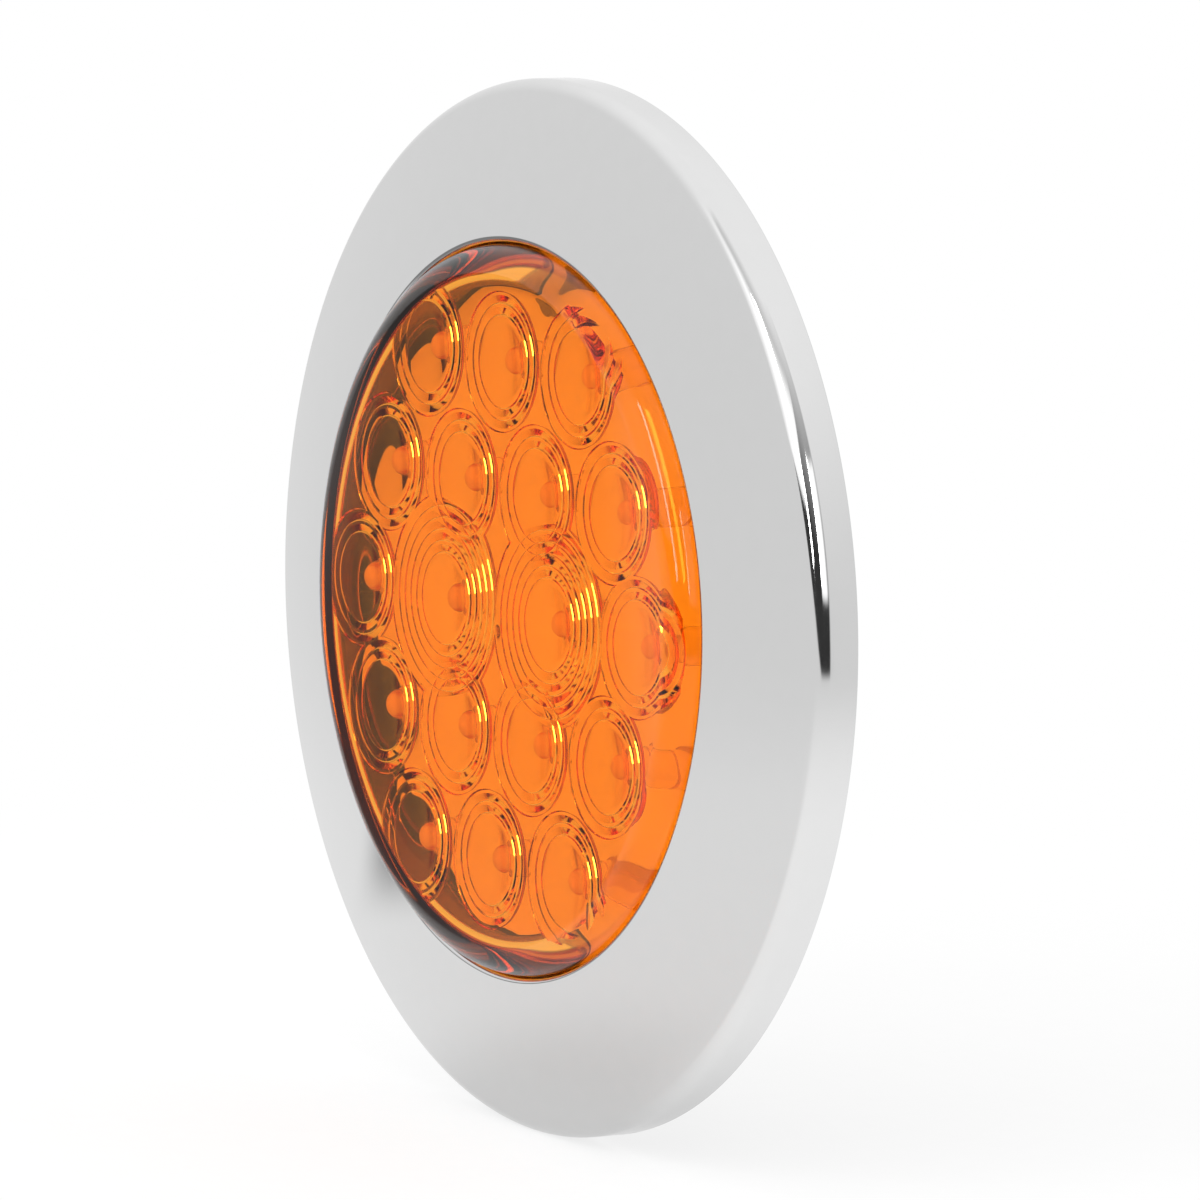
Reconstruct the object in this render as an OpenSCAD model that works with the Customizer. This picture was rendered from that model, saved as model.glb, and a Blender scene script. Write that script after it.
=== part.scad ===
// Round amber LED lamp for trucks and trailers. A flanged housing goes through a panel, a flat lens
// with ringed optics covers the LEDs, and a wide chrome bezel twists on over the flange.
// The front faces -Y and +Z is up. The origin is the centre of the gasket's face on the panel.

/* [Bezel] */
// Outside diameter of the bezel
bezel_d = 140; // [138:0.5:146]
// Depth of the straight skirt round the bezel
bezel_skirt = 4.6; // [4:0.1:6]
// Radius of the bezel's outer front corner
bezel_corner_r = 1.6; // [0.6:0.1:1.8]
// Width of the bezel's face, from its outside to the lens
bezel_face_w = 21.6; // [21:0.1:23]
// Slope of the bezel's face, in degrees
bezel_slope = 12.4; // [9:0.1:15]
// Wall of the bezel
bezel_wall = 1.8; // [1.5:0.1:2.2]
// Depth of the lip that turns down round the lens
bezel_lip_h = 2.6; // [1.6:0.1:3]
// Rounding of the lip's edge
bezel_lip_r = 0.7; // [0.3:0.1:0.8]
// Gap between the bezel's rear edge and the panel
bezel_gap = 0.3; // [0.2:0.1:0.5]

/* [Twist lock] */
// How far each lug reaches in from the bezel's skirt, past its gap to the ear
lug_reach = 2.4; // [1.8:0.1:2.8]
// Thickness of a lug
lug_h = 1.4; // [1:0.1:1.5]
// Height of a lug above the bezel's rear edge
lug_lift = 0.2; // [0.1:0.1:0.3]
// Angle that a lug takes up
lug_angle = 20; // [12:1:24]
// Angle that an ear stretches past its lug at each end
ear_lap = 3; // [2:0.5:6]
// Angle that the stop rib takes up at an ear's end
stop_angle = 2; // [1:0.5:2.5]
// Running gap between the lugs and the flange
lug_gap = 0.4; // [0.3:0.1:0.6]
// Running gap between the ears and the bezel's skirt
ear_gap = 0.5; // [0.3:0.1:0.8]
// Running gap between the flange and the inside of the bezel's face
roof_gap = 0.45; // [0.3:0.05:0.7]

/* [Lens] */
// Thickness of the lens's front plate
lens_t = 3.2; // [2.2:0.1:4]
// Radius of the lens's front edge
lens_edge_r = 3.2; // [0.8:0.1:3.6]
// How far the lens's face stands in front of the bezel's lip
lens_proud = 3; // [1:0.1:4]
// Wall of the lens's skirt
lens_skirt_w = 3.2; // [2.6:0.1:4]
// Gap between the lens and the bezel's lip
lens_gap = 0.35; // [0.3:0.05:0.6]

/* [Optics] */
// Radius of the convex disc in front of each LED
optic_r = 5.7; // [4.5:0.1:6.2]
// Height of the convex disc
optic_h = 0.3; // [0.2:0.05:0.6]
// Height of the boss under each disc and its rings
optic_boss_h = 0.5; // [0.4:0.05:0.7]
// Rings round each disc
optic_rings = 2; // [1:1:2]
// Width of one ring
ring_w = 1.3; // [0.8:0.05:1.35]
// Height of one ring
ring_h = 0.45; // [0.2:0.05:0.5]
// Draft of a ring's steep inner side
ring_draft = 0.2; // [0.1:0.05:0.3]

/* [LEDs] */
// Distance from the lens's inner wall to the top and bottom rows
row_margin = 12.2; // [11.5:0.1:14]
// Distance from the lens's inner wall to the ends of the four-LED rows
side_margin = 15.95; // [15:0.05:18]
// Distance from the lens's inner wall to the ends of the centre row
centre_margin = 9.2; // [8.5:0.1:11]
// Place of the centre row's inner pair, as a share of the outer pair's
centre_share = 0.375; // [0.34:0.005:0.4]
// Diameter of an LED's body
led_d = 5; // [3:0.1:5.4]
// Height of an LED from its base to the tip of its dome
led_h = 7; // [6:0.1:7.6]
// How far an LED's base rim stands out
led_rim = 0.4; // [0.2:0.1:0.6]
// Height of an LED's base rim
led_rim_h = 1; // [0.6:0.1:1.4]
// Diameter of an LED's leg
leg_d = 0.55; // [0.4:0.05:0.7]
// Distance between an LED's legs
leg_pitch = 2.54; // [2:0.01:3]
// Length of leg that shows behind the board
leg_tail = 1.6; // [1:0.1:2]
// Gap between an LED's tip and its optic
led_gap = 0.7; // [0.5:0.1:1.5]

/* [Housing] */
// Wall of the housing's cup
can_wall = 2.6; // [2:0.1:3]
// Width of the ledge that the lens sits on
ledge_w = 2.4; // [1.6:0.1:2.8]
// Depth of the lens's ledge below the flange's front face
ledge_depth = 1; // [0.4:0.1:1.6]
// Thickness of the flange under the cup's shoulder
seat_t = 0.9; // [0.6:0.1:1.2]
// Wall of the collar round the lens
collar_wall = 2.1; // [1.6:0.1:2.6]
// Gap between the collar and the bezel's lip
collar_gap = 1; // [0.6:0.1:1.6]
// Welding gap round the collar and the cup
weld_gap = 0.1; // [0.05:0.05:0.2]
// Thickness of the cup's back
floor_t = 2.5; // [2:0.1:3.5]
// Room behind the circuit board
board_room = 8.9; // [8.7:0.1:9.9]
// Draw taper of the cup, as loss of radius at the back
can_taper = 0.5; // [0.2:0.1:0.8]
// Rounding of the cup's rear edge
can_edge_r = 1.8; // [0.8:0.1:2]

/* [Mounting] */
// Radius of a mounting screw's hole
screw_hole_r = 2.6; // [2.2:0.1:3]
// Radius of the seat for a mounting screw's head
screw_seat_r = 4.8; // [4:0.1:5]
// Thickness left under a screw's head
screw_web = 1.4; // [1:0.1:1.8]
// Distance from a mounting hole's centre to the flange's edge
screw_edge = 5.9; // [5.4:0.1:6.4]
// Thickness of the gasket
gasket_t = 1.5; // [1:0.1:1.8]
// Distance of the gasket's outer edge inside the flange's edge
gasket_inset = 1; // [0.5:0.1:2]
// Gap between the gasket and the cup
gasket_gap = 0.5; // [0.2:0.1:1]

/* [Circuit board] */
// Thickness of the circuit board
board_t = 1.6; // [1:0.1:2]
// Gap between the board's edge and the cup
board_gap = 0.8; // [0.4:0.1:1.2]
// Distance of the board's screws from its edge
board_screw_edge = 4.2; // [3.8:0.1:6]
// Radius of a board screw's thread
board_screw_r = 1.2; // [1:0.1:1.4]
// Radius of a board screw's head
board_screw_head_r = 2.3; // [2:0.1:2.6]
// Height of a board screw's head
board_screw_head_h = 1.6; // [1:0.1:2]
// Length of a board screw's thread in its boss
board_screw_grip = 5; // [3:0.5:5.5]
// Wall of a screw boss
boss_wall = 1.8; // [1.4:0.1:2.2]
// Clearance round legs, tails and screws in the board
board_clear = 0.15; // [0.1:0.05:0.25]
// Length of a chip resistor
resistor_l = 6.3; // [5:0.1:7]
// Width of a chip resistor
resistor_w = 3.2; // [2:0.1:4]
// Height of a chip resistor
resistor_h = 0.7; // [0.5:0.1:1]
// Length of a diode
diode_l = 4.6; // [4:0.1:5]
// Width of a diode
diode_w = 3.6; // [3:0.1:4]
// Height of a diode
diode_h = 2.3; // [1.8:0.1:2.6]
// Length of the surge suppressor
surge_l = 7; // [6:0.1:8]
// Width of the surge suppressor
surge_w = 5.9; // [5:0.1:6]
// Height of the surge suppressor
surge_h = 2.4; // [2:0.1:3]

/* [Rear socket] */
// Outside radius of the socket's cup
socket_r = 16; // [15:0.1:18]
// Wall of the socket's cup
socket_wall = 2; // [1.5:0.1:2.5]
// Thickness of the socket's floor
socket_floor = 2; // [1.5:0.1:3]
// Width of the socket's rear rim
socket_rim_w = 3; // [2:0.1:4]
// Thickness of the socket's rear rim
socket_rim_t = 1.5; // [1:0.1:2]
// How far the socket's mouth stands out behind its rim
socket_stand = 6.7; // [5:0.1:9]
// Bonding gap between the socket and the cup's back
socket_gap = 0.1; // [0.05:0.05:0.2]
// Width of the socket's key rib
key_w = 3; // [2:0.1:4]
// Depth of the socket's key rib
key_h = 1.6; // [1:0.1:2]
// Radius of the circle that the pins stand on
pin_circle = 7.2; // [6.8:0.1:8]
// Radius of a pin
pin_r = 2; // [1.6:0.1:2.2]
// Radius of a pin's shank in the socket's floor
shank_r = 1.2; // [0.9:0.1:1.4]
// Radius of a pin's tail in the board
tail_r = 0.6; // [0.4:0.1:0.8]
// How far a tail stands in front of the board
tail_proud = 0.8; // [0.4:0.1:1.2]
// How far a pin stops short of the socket's mouth
pin_short = 1.2; // [0.5:0.1:3]
// Fitting gap round a pin's shank
pin_fit = 0.05; // [0.02:0.01:0.1]
// Radius of the epoxy seal on the socket's floor
seal_r = 12; // [11:0.1:13]
// Thickness of the epoxy seal
seal_t = 1.5; // [1:0.1:2]
// Gap between the seal and the parts on the board's back
seal_gap = 3.3; // [3.1:0.1:3.9]

/* [Hidden] */
$fn = 96;
bite = 0.3;

// Radii, from the bezel's skirt in to the lens
bezel_r = bezel_d / 2;
skirt_in_r = bezel_r - bezel_wall;
corner_r = min(bezel_corner_r, bezel_wall);
ear_r = skirt_in_r - ear_gap;
lug_in_r = ear_r - lug_reach;
flange_r = lug_in_r - lug_gap;
screw_circle = flange_r - screw_edge;
lens_r = bezel_r - bezel_face_w;
lip_in_r = lens_r + lens_gap;
lens_in_r = lens_r - lens_skirt_w;
collar_in_r = lens_r + weld_gap;
collar_r = collar_in_r + collar_wall;
can_in_r = lens_r - ledge_w;
can_r = can_in_r + can_wall;
board_r = can_in_r - board_gap;
board_screw_at = board_r - board_screw_edge;

// Heights in front of the panel, on the bezel
corner_z = bezel_gap + bezel_skirt;
cone_r = bezel_r - corner_r * (1 - sin(bezel_slope));
cone_z = corner_z + corner_r * cos(bezel_slope);
function face_z(r) = cone_z + (cone_r - r) * tan(bezel_slope);
function roof_z(r) = face_z(r) - bezel_wall / cos(bezel_slope);
lip_z = face_z(lip_in_r);
lip_low_z = lip_z - bezel_lip_h;
lip_arc_z = face_z(lip_in_r + bezel_lip_r) - bezel_lip_r / cos(bezel_slope);
lug_z = bezel_gap + lug_lift;

// Heights in front of the panel, on the lamp
flange_z = roof_z(ear_r) - roof_gap;
ear_z = lug_z + lug_h + bezel_gap;
ledge_z = flange_z - ledge_depth;
shoulder_z = gasket_t + seat_t;
collar_z = lip_low_z - collar_gap;
lens_z = lip_z + lens_proud;
lens_in_z = lens_z - lens_t;
board_z = lens_in_z - optic_boss_h - optic_h - led_gap - led_h;
board_low_z = board_z - board_t;
floor_z = board_low_z - board_room;
can_low_z = floor_z - floor_t;
seal_z = board_low_z - max(leg_tail, diode_h, surge_h) - seal_gap;
socket_top_z = seal_z - seal_t;
socket_floor_z = socket_top_z - socket_floor;
socket_low_z = can_low_z - socket_rim_t - socket_stand;
pin_low_z = socket_low_z + pin_short;
boss_r = board_screw_r + boss_wall;
edge_r = min(lens_edge_r, lens_t);

// Places round the lamp: screws and lugs alternate
thirds = [90, 210, 330];
lug_places = [for (a = thirds) a - 60];
ear_angle = lug_angle + 2 * ear_lap;

// LED rows from the top down, each from left to right
row_pitch = (lens_in_r - row_margin) / 2;
led_pitch = (lens_in_r - side_margin) / 1.5;
centre_outer = lens_in_r - centre_margin;
centre_inner = centre_outer * centre_share;
function row(n, level) = [for (i = [0:n - 1]) [(i - (n - 1) / 2) * led_pitch, level * row_pitch]];
centre_row = [for (x = [-centre_outer, -centre_inner, centre_inner, centre_outer]) [x, 0]];
led_places = concat(row(3, 2), row(4, 1), centre_row, row(4, -1), row(3, -2));
function between(a, b) = (led_places[a] + led_places[b]) / 2;
resistor_places = [between(0, 1), between(3, 4), between(5, 6), between(11, 12), between(13, 14), between(16, 17)];
diode_places = [between(4, 5), between(12, 13)];
surge_place = between(15, 16);
pin_names = ["pin_ground", "pin_running", "pin_signal"];

function two_digits(i) = str(i < 10 ? "0" : "", i);
led_names = [for (i = [1:len(led_places)]) str("led_", two_digits(i))];
resistor_names = [for (i = [1:len(resistor_places)]) str("resistor_", i)];
diode_names = [for (i = [1:len(diode_places)]) str("diode_", i)];
single_names = ["chrome_bezel", "lens", "housing", "mounting_flange", "flange_gasket", "circuit_board",
    "board_screws", "surge_suppressor", "pin_socket", "pin_seal"];

// Turns the lamp's own frame, with its axis along +Z, to face -Y
module facing() {
    rotate([90, 0, 0]) children();
}

// Ring of rectangular section, from radius r1 to r2 and height z1 to z2
module ring(r1, r2, z1, z2) {
    rotate_extrude() translate([r1, z1]) square([r2 - r1, z2 - z1]);
}

// Stretch of such a ring that begins at one angle and takes up another
module arc_block(r1, r2, z1, z2, start, sweep) {
    rotate([0, 0, start]) rotate_extrude(angle = sweep) translate([r1, z1]) square([r2 - r1, z2 - z1]);
}

// Round bar along the lamp's axis at one place, from z1 to z2
module bar(at, r, z1, z2) {
    translate([at[0], at[1], z1]) cylinder(r = r, h = z2 - z1);
}

// Block on the back of the board at one place
module chip(at, size) {
    translate([at[0] - size[0] / 2, at[1] - size[1] / 2, board_low_z - size[2]]) cube(size);
}

function on_circle(r, angle) = [r * cos(angle), r * sin(angle)];
function legs(at) = [at - [leg_pitch / 2, 0], at + [leg_pitch / 2, 0]];

// Quarter of a disc, in the corner that faces away from the axis and forwards
module outer_round(r) {
    intersection() {
        circle(r);
        square(r);
    }
}

// Section of the bezel: skirt, sloping face and turned lip
module bezel_section() {
    arc_tip = [lip_in_r + bezel_lip_r * (1 + sin(bezel_slope)), lip_arc_z + bezel_lip_r * cos(bezel_slope)];
    polygon([
        [bezel_r, bezel_gap], [bezel_r, corner_z], [cone_r, cone_z], arc_tip,
        [lip_in_r, lip_arc_z], [lip_in_r, lip_low_z], [lip_in_r + bezel_wall, lip_low_z],
        [lip_in_r + bezel_wall, roof_z(lip_in_r + bezel_wall)], [skirt_in_r, roof_z(skirt_in_r)],
        [skirt_in_r, bezel_gap]
    ]);
    translate([bezel_r - corner_r, corner_z]) outer_round(corner_r);
    translate([lip_in_r + bezel_lip_r, lip_arc_z]) circle(bezel_lip_r);
}

module chrome_bezel() {
    color("#D8DADC") facing() {
        rotate_extrude() bezel_section();
        for (a = lug_places)
            arc_block(lug_in_r, skirt_in_r + bite, lug_z, lug_z + lug_h, a - lug_angle / 2, lug_angle);
    }
}

// Boss, convex disc and rings of one optic, from the top of the boss backwards
module optic() {
    cap_r = (optic_r * optic_r + optic_h * optic_h) / (2 * optic_h);
    rotate_extrude() {
        square([optic_r + optic_rings * ring_w, optic_boss_h + bite]);
        intersection() {
            translate([0, cap_r - optic_h]) circle(cap_r);
            translate([0, -optic_h]) square([optic_r, optic_h + bite]);
        }
        for (i = [0:optic_rings - 1]) {
            low_r = optic_r + i * ring_w;
            polygon([[low_r, bite], [low_r, 0], [low_r + ring_draft, -ring_h], [low_r + ring_w, 0],
                [low_r + ring_w, bite]]);
        }
    }
}

module lens() {
    color("#FC8234") facing() {
        rotate_extrude() {
            polygon([[0, lens_in_z], [lens_in_r, lens_in_z], [lens_in_r, ledge_z], [lens_r, ledge_z],
                [lens_r, lens_z - edge_r], [lens_r - edge_r, lens_z], [0, lens_z]]);
            translate([lens_r - edge_r, lens_z - edge_r]) outer_round(edge_r);
        }
        for (at = led_places)
            translate([at[0], at[1], lens_in_z - optic_boss_h]) optic();
    }
}

// Section of the housing: collar, ledge, tapered cup wall, back and shoulder
module housing_section() {
    polygon([
        [collar_in_r, collar_z], [collar_in_r, ledge_z], [can_in_r, ledge_z], [can_in_r - can_taper, floor_z],
        [socket_r + socket_gap, floor_z], [socket_r + socket_gap, can_low_z],
        [can_r - can_taper - can_edge_r, can_low_z], [can_r - can_taper, can_low_z + can_edge_r],
        [can_r, gasket_t], [can_r, shoulder_z], [collar_r, shoulder_z], [collar_r, collar_z]
    ]);
    translate([can_r - can_taper - can_edge_r, can_low_z + can_edge_r]) mirror([0, 1]) outer_round(can_edge_r);
}

module housing() {
    color("#1C1C1E") facing() difference() {
        union() {
            rotate_extrude() housing_section();
            for (a = thirds)
                bar(on_circle(board_screw_at, a), boss_r, floor_z - bite, board_low_z);
        }
        for (a = thirds)
            bar(on_circle(board_screw_at, a), board_screw_r, board_low_z - board_screw_grip - bite, board_z);
    }
}

// Flange welded under the cup's shoulder, with the bezel's ears and the screws' seats
module mounting_flange() {
    color("#1E1E20") facing() difference() {
        union() {
            ring(can_r + weld_gap, flange_r, gasket_t, shoulder_z);
            ring(collar_r + weld_gap, flange_r, shoulder_z - bite, flange_z);
            for (a = lug_places) {
                arc_block(flange_r - bite, ear_r, ear_z, flange_z, a - ear_angle / 2, ear_angle);
                arc_block(flange_r - bite, ear_r, lug_z, ear_z + bite, a - ear_angle / 2, stop_angle);
            }
        }
        for (a = thirds) {
            bar(on_circle(screw_circle, a), screw_hole_r, 0, flange_z + bite);
            bar(on_circle(screw_circle, a), screw_seat_r, gasket_t + screw_web, flange_z + bite);
        }
    }
}

module flange_gasket() {
    color("#2E2E30") facing() difference() {
        ring(can_r + gasket_gap, flange_r - gasket_inset, 0, gasket_t);
        for (a = thirds)
            bar(on_circle(screw_circle, a), screw_hole_r, -bite, gasket_t + bite);
    }
}

module circuit_board() {
    color("#F2F2EC") facing() difference() {
        bar([0, 0], board_r, board_low_z, board_z);
        for (at = led_places, leg = legs(at))
            bar(leg, leg_d / 2 + board_clear, board_low_z - bite, board_z + bite);
        for (a = thirds) {
            bar(on_circle(board_screw_at, a), board_screw_r + board_clear, board_low_z - bite, board_z + bite);
            bar(on_circle(pin_circle, a), tail_r + board_clear, board_low_z - bite, board_z + bite);
        }
    }
}

module board_screws() {
    color("#B8BCC0") facing() for (a = thirds) {
        at = on_circle(board_screw_at, a);
        bar(at, board_screw_r - pin_fit, board_low_z - board_screw_grip, board_z + bite);
        bar(at, board_screw_head_r, board_z, board_z + board_screw_head_h);
    }
}

module led(at) {
    dome_r = led_d / 2;
    color("#F4C890") facing() {
        translate([at[0], at[1], board_z]) rotate_extrude() {
            square([dome_r + led_rim, led_rim_h]);
            square([dome_r, led_h - dome_r]);
            translate([0, led_h - dome_r]) outer_round(dome_r);
        }
        for (leg = legs(at))
            bar(leg, leg_d / 2, board_low_z - leg_tail, board_z + bite);
    }
}

module resistor(at) {
    color("#222222") facing() chip(at, [resistor_l, resistor_w, resistor_h]);
}

module diode(at) {
    color("#2A2A2C") facing() chip(at, [diode_l, diode_w, diode_h]);
}

module surge_suppressor() {
    color("#303034") facing() chip(surge_place, [surge_l, surge_w, surge_h]);
}

// Receptacle bonded in the back: cup, rear rim, key rib and holes for the shanks
module pin_socket() {
    in_r = socket_r - socket_wall;
    color("#19191B") facing() difference() {
        union() {
            ring(in_r, socket_r, socket_low_z, socket_top_z);
            bar([0, 0], in_r + bite, socket_floor_z, socket_top_z);
            ring(in_r, socket_r + socket_rim_w, can_low_z - socket_rim_t, can_low_z);
            translate([-key_w / 2, in_r - key_h, socket_low_z]) cube([key_w, key_h + bite, socket_top_z - socket_low_z]);
        }
        for (a = thirds)
            bar(on_circle(pin_circle, a), shank_r + pin_fit, socket_floor_z - bite, socket_top_z + bite);
    }
}

// Terminal pin: contact, shank through the floor and seal, tail through the board
module pin(angle) {
    at = on_circle(pin_circle, angle);
    color("#C9A64B") facing() {
        bar(at, pin_r, pin_low_z + pin_r, socket_floor_z);
        translate([at[0], at[1], pin_low_z + pin_r]) rotate_extrude() mirror([0, 1]) outer_round(pin_r);
        bar(at, shank_r, socket_floor_z - bite, seal_z);
        bar(at, tail_r, seal_z - bite, board_z + tail_proud);
    }
}

module pin_seal() {
    color("#3A342C") facing() difference() {
        bar([0, 0], seal_r, socket_top_z, seal_z);
        for (a = thirds)
            bar(on_circle(pin_circle, a), shank_r + pin_fit, socket_top_z - bite, seal_z + bite);
    }
}

chrome_bezel();
lens();
housing();
mounting_flange();
flange_gasket();
circuit_board();
board_screws();
surge_suppressor();
pin_socket();
pin_seal();
for (i = [0:len(pin_names) - 1]) pin(thirds[i]);
for (i = [0:len(led_names) - 1]) led(led_places[i]);
for (i = [0:len(resistor_names) - 1]) resistor(resistor_places[i]);
for (i = [0:len(diode_names) - 1]) diode(diode_places[i]);
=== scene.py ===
import math

import bmesh
import bpy
from mathutils import Matrix, Quaternion, Vector


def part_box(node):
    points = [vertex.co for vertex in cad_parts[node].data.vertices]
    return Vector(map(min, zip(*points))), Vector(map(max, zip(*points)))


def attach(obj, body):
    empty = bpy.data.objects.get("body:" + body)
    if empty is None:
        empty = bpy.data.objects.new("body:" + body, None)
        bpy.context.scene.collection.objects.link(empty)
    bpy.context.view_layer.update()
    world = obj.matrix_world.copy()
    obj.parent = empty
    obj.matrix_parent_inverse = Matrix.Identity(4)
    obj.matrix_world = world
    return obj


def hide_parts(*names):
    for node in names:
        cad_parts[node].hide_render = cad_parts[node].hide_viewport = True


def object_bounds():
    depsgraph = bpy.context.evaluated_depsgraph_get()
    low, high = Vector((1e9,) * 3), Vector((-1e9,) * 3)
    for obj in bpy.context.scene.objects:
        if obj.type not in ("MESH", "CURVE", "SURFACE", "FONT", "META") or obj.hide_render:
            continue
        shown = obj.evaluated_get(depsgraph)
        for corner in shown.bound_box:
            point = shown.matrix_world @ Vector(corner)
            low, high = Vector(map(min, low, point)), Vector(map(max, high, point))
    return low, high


bl_info = {
    "name": "Round LED lamp",
    "version": (1, 0, 0),
    "blender": (4, 5, 0),
    "location": "3D View > Sidebar > Lamp",
    "description": "Builds a round amber LED lamp with a chrome bezel over its CAD frame",
    "category": "Object",
}

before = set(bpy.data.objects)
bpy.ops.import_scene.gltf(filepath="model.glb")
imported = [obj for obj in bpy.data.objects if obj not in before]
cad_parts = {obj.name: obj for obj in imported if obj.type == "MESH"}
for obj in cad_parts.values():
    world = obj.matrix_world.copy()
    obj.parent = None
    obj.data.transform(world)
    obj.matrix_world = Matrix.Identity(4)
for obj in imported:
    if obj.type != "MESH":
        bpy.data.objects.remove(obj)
CAD_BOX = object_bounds()

MM = 0.001
TINY = 1e-7
SHARP_DEGREES = 30
LED_NODES = [f"led_{i:02d}" for i in range(1, 19)]
PIN_NODES = ["pin_ground", "pin_running", "pin_signal"]
CHIP_NODES = [f"resistor_{i}" for i in range(1, 7)] + ["diode_1", "diode_2", "surge_suppressor"]
SCREW_ANGLES = [90, 210, 330]
LUG_ANGLES = [30, 150, 270]
# Where most values of a noise texture lie
NOISE_RANGE = {"From Min": 0.3, "From Max": 0.7}


def linear(code):
    """Linear RGBA of an sRGB hex colour."""
    parts = [int(code[i:i + 2], 16) / 255 for i in (1, 3, 5)]
    return [c / 12.92 if c <= 0.04045 else ((c + 0.055) / 1.055) ** 2.4 for c in parts] + [1.0]


def length(name, description, millimetres):
    """Length property with a default in millimetres."""
    return bpy.props.FloatProperty(name=name, description=description, default=millimetres * MM, unit="LENGTH",
                                   precision=5)


def angle(name, description, degrees):
    """Angle property with a default in degrees."""
    return bpy.props.FloatProperty(name=name, description=description, default=math.radians(degrees),
                                   subtype="ANGLE")


def colour(name, description, code):
    """Colour property with a default as an sRGB hex colour."""
    return bpy.props.FloatVectorProperty(name=name, description=description, default=linear(code), size=4,
                                         subtype="COLOR", min=0.0, max=1.0)


def low(node, axis):
    """Lower side of a node's box along an axis."""
    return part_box(node)[0][axis]


def high(node, axis):
    """Upper side of a node's box along an axis."""
    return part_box(node)[1][axis]


def centre(node):
    """Middle of a node's box as seen from the front, with no depth."""
    lo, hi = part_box(node)
    return ((lo[0] + hi[0]) / 2, 0.0, (lo[2] + hi[2]) / 2)


def on_circle(radius, degrees):
    """Point on a circle about Y."""
    turn = math.radians(degrees)
    return (radius * math.cos(turn), 0.0, radius * math.sin(turn))


class BezelProps(bpy.types.PropertyGroup):
    slope: angle("Slope", "Slope of the face", 12.4)
    skirt: length("Skirt", "Depth of the straight skirt up to the rounded corner", 4.12)
    corner: length("Corner", "Radius of the outer front corner", 2.2)
    wall: length("Wall", "Wall of the ring", 1.8)
    lip: length("Lip", "Depth of the lip that turns down round the lens", 2.6)
    lip_round: length("Lip rounding", "Radius of the lip's edge", 0.7)
    lens_gap: length("Lens gap", "Gap between the lip and the lens", 0.2)
    lug_reach: length("Lug reach", "How far a lug reaches in from the skirt", 2.9)
    lug_height: length("Lug height", "Thickness of a lug", 1.4)
    lug_lift: length("Lug lift", "Height of a lug above the rear edge", 0.2)
    lug_angle: angle("Lug angle", "Angle that a lug takes up", 20)
    plating: colour("Plating", "Colour of the chrome", "#D4D4D4")


class LensProps(bpy.types.PropertyGroup):
    plate: length("Plate", "Thickness of the front plate", 3.2)
    skirt: length("Skirt", "Wall of the skirt", 3.2)
    edge: length("Edge", "Radius of the front edge", 4.0)
    inner_edge: length("Inner edge", "Radius of the corner between plate and skirt inside", 2.6)
    disc_radius: length("Disc radius", "Radius of an optic's convex disc", 5.7)
    disc_height: length("Disc height", "Height of an optic's convex disc", 0.3)
    ring_land: length("Ring land", "Flat land between the disc and the first ring", 0.37)
    ring_pitch: length("Ring pitch", "Distance from one ring of an optic to the next", 1.55)
    ring_height: length("Ring height", "Height of one ring of an optic", 0.35)
    ring_inside: angle("Ring inside", "Slope of a ring's inner flank", 63)
    ring_outside: angle("Ring outside", "Slope of a ring's outer flank", 20)
    boss_height: length("Boss height", "Height of the boss under an optic", 0.5)
    boss_draft: length("Boss draft", "Draft of the boss's side", 0.15)
    tint: colour("Tint", "Colour of light that has gone through the lens once", "#FFB84E")


class HousingProps(bpy.types.PropertyGroup):
    wall: length("Wall", "Wall of the cup", 2.6)
    floor: length("Back", "Thickness of the cup's back", 2.5)
    taper: length("Taper", "Draw taper of the cup", 0.5)
    edge: length("Edge", "Rounding of the cup's rear edge", 1.8)
    ledge_width: length("Ledge", "Width of the ledge under the lens", 2.4)
    collar: length("Collar", "Wall of the collar round the lens", 2.1)
    seat: length("Seat", "Thickness of the flange under the cup's shoulder", 0.9)
    hole_radius: length("Hole radius", "Radius of a mounting screw's hole", 2.6)
    hole_circle: length("Hole circle", "Radius of the circle of the mounting holes", 59.0)
    seat_radius: length("Screw seat", "Radius of the seat for a screw's head", 4.8)
    seat_web: length("Screw web", "Thickness left under a screw's head", 1.4)
    boss_circle: length("Boss circle", "Radius of the circle of the board's screw bosses", 41.0)
    boss_radius: length("Boss radius", "Radius of a screw boss", 3.0)
    boss_bore: length("Boss bore", "Radius of the bore in a screw boss", 1.2)
    plastic: colour("Plastic", "Colour of the housing", "#3A3A3C")
    foam: colour("Foam", "Colour of the gasket", "#2C2C2E")


class BoardProps(bpy.types.PropertyGroup):
    mask: colour("Mask", "Colour of the board's solder mask", "#FAF9F4")
    epoxy: colour("LED epoxy", "Colour of an LED's clear body", "#FFF3DC")
    # The LED tip's rosy colour is a painted reflection: a band that stands for the pink outline of the dome
    tip: colour("LED tip", "Colour of the frosted tip of an LED", "#DE9684")
    lead: colour("LED legs", "Colour of an LED's legs", "#E2C9B8")
    base: colour("LED base", "Colour of the LED's reflecting base", "#F4DCCB")


class SocketProps(bpy.types.PropertyGroup):
    wall: length("Wall", "Wall of the socket's cup", 2.0)
    floor: length("Floor", "Thickness of the socket's floor", 2.0)
    rim_width: length("Rim width", "Width of the rear rim", 3.0)
    rim: length("Rim", "Thickness of the rear rim", 1.5)
    key_width: length("Key width", "Width of the key rib", 3.0)
    key_depth: length("Key depth", "Depth of the key rib", 1.6)
    plastic: colour("Plastic", "Colour of the socket", "#18181A")
    brass: colour("Brass", "Colour of the pins", "#C8A552")


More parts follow.
